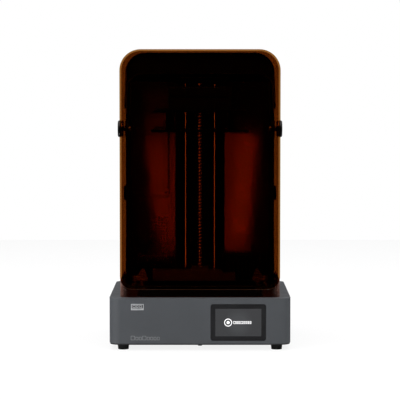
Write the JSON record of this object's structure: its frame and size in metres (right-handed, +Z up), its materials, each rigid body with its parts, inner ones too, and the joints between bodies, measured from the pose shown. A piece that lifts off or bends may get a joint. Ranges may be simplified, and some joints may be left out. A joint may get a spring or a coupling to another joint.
{
  "type": "resin printer",
  "caption": "Desktop resin 3-D printer with a flip-up tinted hood, lift platform on a screw-driven column, resin vat and a touch screen in its base.",
  "frame": {"origin": "centre of the footprint, on the surface the feet stand on", "axes": "+Z up, -Y towards the user, +X to the user's right"},
  "size_m": [0.427, 0.4, 0.706],
  "materials": {
    "base_plastic": "fine moulded texture, satin",
    "black_steel": "black powder coat",
    "rubber": "matt",
    "cover_glass": "printed black glass, gloss",
    "screen": "dim backlit panel",
    "board": "solder mask",
    "bright_steel": "ground",
    "badge": "satin light grey",
    "dark_metal": "anodised grey",
    "aluminium": "milled and anodised",
    "lens": "moulded lens sheet",
    "dark_plastic": "moulded, satin",
    "clear_hood": "orange-brown tinted acrylic, gloss",
    "collar_plastic": "pale translucent tinted plastic",
    "liner_paint": "near-black gloss enamel that mirrors softly",
    "black_metal": "black anodised",
    "screw_brass": "polished",
    "film": "clear film"
  },
  "bodies": {
    "base_unit": {"base_shell": "base_plastic", "base_plate": "black_steel", "foot_front_left": "rubber", "foot_front_right": "rubber", "foot_rear_left": "rubber", "foot_rear_right": "rubber", "front_pad": "rubber", "display_glass": "cover_glass", "display_panel": "screen", "display_board": "board", "base_screws": "bright_steel", "badge_plate": "badge", "deck_plate": "dark_metal", "mask_screen": "cover_glass", "reflector_box": "aluminium", "lens_plate": "lens", "led_board": "aluminium", "heat_sink": "aluminium", "engine_fan_frame": "dark_plastic", "mainboard": "board", "power_supply": "bright_steel", "power_inlet": "dark_plastic", "data_port": "bright_steel", "collar": "collar_plastic", "rear_housing": "dark_plastic", "rear_liner": "liner_paint", "service_panel": "liner_paint", "vent_grille": "liner_paint", "filter_drawer": "dark_plastic", "heater_box": "dark_plastic", "foot_block": "dark_metal", "column": "black_metal", "column_cap": "dark_metal", "rail_left": "bright_steel", "rail_right": "bright_steel", "z_motor": "black_metal", "vat_body": "dark_metal", "vat_film": "film", "clamp_post_left": "dark_metal", "clamp_post_right": "dark_metal"},
    "hood": {"hood_shell": "clear_hood", "hood_rear_cap": "dark_plastic", "hood_seal": "rubber", "hinge_knob_left": "dark_plastic", "hinge_knob_right": "dark_plastic"},
    "z_carriage": {"carriage_plate": "black_metal", "rail_block_left": "bright_steel", "rail_block_right": "bright_steel", "lead_nut": "screw_brass", "platform_arm": "black_metal", "platform_bracket": "aluminium", "build_plate": "aluminium"},
    "latch": {"platform_latch": "dark_plastic"},
    "screw": {"lead_screw": "screw_brass", "motor_coupler": "aluminium"},
    "left_clamp": {"clamp_left": "dark_metal"},
    "right_clamp": {"clamp_right": "dark_metal"},
    "rocker": {"power_switch": "dark_plastic"},
    "engine_fan": {"engine_fan_rotor": "dark_plastic"},
    "filter_fan": {"filter_fan_rotor": "dark_plastic"}
  },
  "joints": [
    {"name": "hood_hinge", "type": "hinge", "parent": "base_unit", "child": "hood", "pos_m": [0, 0.04, 0.516], "axis": [-1, 0, 0], "range_deg": [0, 70]},
    {"name": "z_travel", "type": "slide", "parent": "base_unit", "child": "z_carriage", "axis": [0, 0, 1], "range_m": [-0.4, 0.006]},
    {"name": "screw_spin", "type": "hinge", "parent": "base_unit", "child": "screw", "pos_m": [0, 0.084, 0.3], "axis": [0, 0, 1], "range_deg": [-300, 18100]},
    {"name": "latch_pivot", "type": "hinge", "parent": "z_carriage", "child": "latch", "pos_m": [0, -0.03, 0.607], "axis": [-1, 0, 0], "range_deg": [0, 70]},
    {"name": "left_clamp_swing", "type": "hinge", "parent": "base_unit", "child": "left_clamp", "pos_m": [-0.158, -0.03, 0.14], "axis": [0, 0, 1], "range_deg": [0, 90]},
    {"name": "right_clamp_swing", "type": "hinge", "parent": "base_unit", "child": "right_clamp", "pos_m": [0.158, -0.03, 0.14], "axis": [0, 0, -1], "range_deg": [0, 90]},
    {"name": "power_rocker", "type": "hinge", "parent": "base_unit", "child": "rocker", "pos_m": [0.116, 0.193, 0.092], "axis": [1, 0, 0], "range_deg": [-10, 0]},
    {"name": "engine_fan_spin", "type": "hinge", "parent": "base_unit", "child": "engine_fan", "pos_m": [0.16, -0.056, 0.058], "axis": [1, 0, 0], "continuous": true},
    {"name": "filter_fan_spin", "type": "hinge", "parent": "base_unit", "child": "filter_fan", "pos_m": [-0.1045, 0.15, 0.252], "axis": [0, 1, 0], "continuous": true}
  ],
  "couplings": [
    {"joint": "screw_spin", "follows": "z_travel", "rad_per_m": -785.4}
  ]
}
